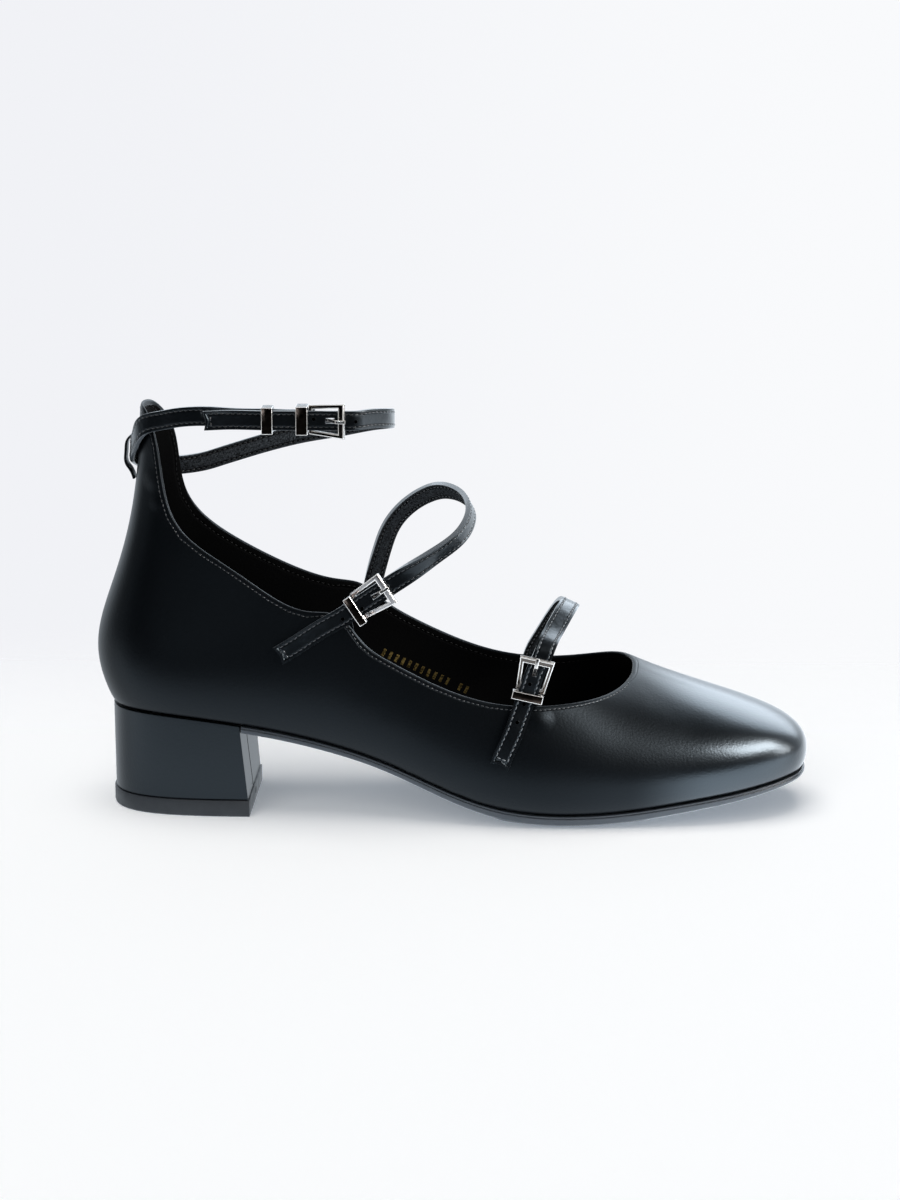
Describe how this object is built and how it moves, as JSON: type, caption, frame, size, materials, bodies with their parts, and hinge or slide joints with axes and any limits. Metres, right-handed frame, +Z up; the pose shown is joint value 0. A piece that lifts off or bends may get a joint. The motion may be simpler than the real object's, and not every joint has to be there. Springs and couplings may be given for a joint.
{
  "type": "strappy heeled shoe",
  "caption": "Soft square-toe pump with a low block heel, a tall heel tab and narrow buckled straps over the instep and round the ankle.",
  "frame": {"origin": "middle of the heel's ground face, on the floor", "axes": "+X toward the toe, +Y toward the shoe's inner side, +Z up"},
  "size_m": [0.2639, 0.0845, 0.1537],
  "materials": {
    "upper_leather": "smooth coated, satin gloss",
    "insole_leather": "matte, fine grain",
    "outsole_rubber": "satin",
    "heel_leather": "smooth coated, satin gloss",
    "cap_rubber": "matte",
    "strap_leather": "smooth coated, stitched",
    "buckle_metal": "polished dark nickel"
  },
  "bodies": {
    "root": {"upper": "upper_leather", "insole": "insole_leather", "outsole": "outsole_rubber", "heel": "heel_leather", "heel_cap": "cap_rubber", "strap_front": "strap_leather", "strap_middle": "strap_leather", "strap_ankle": "strap_leather", "buckle_tab_front": "strap_leather", "buckle_tab_middle": "strap_leather", "tab_loop": "strap_leather", "buckle_frame_front": "buckle_metal", "buckle_prong_front": "buckle_metal", "buckle_keeper_front": "buckle_metal", "buckle_frame_middle": "buckle_metal", "buckle_prong_middle": "buckle_metal", "buckle_keeper_middle": "buckle_metal", "buckle_frame_ankle": "buckle_metal", "buckle_prong_ankle": "buckle_metal", "buckle_keeper_ankle": "buckle_metal", "ankle_slider": "buckle_metal"}
  },
  "joints": []
}
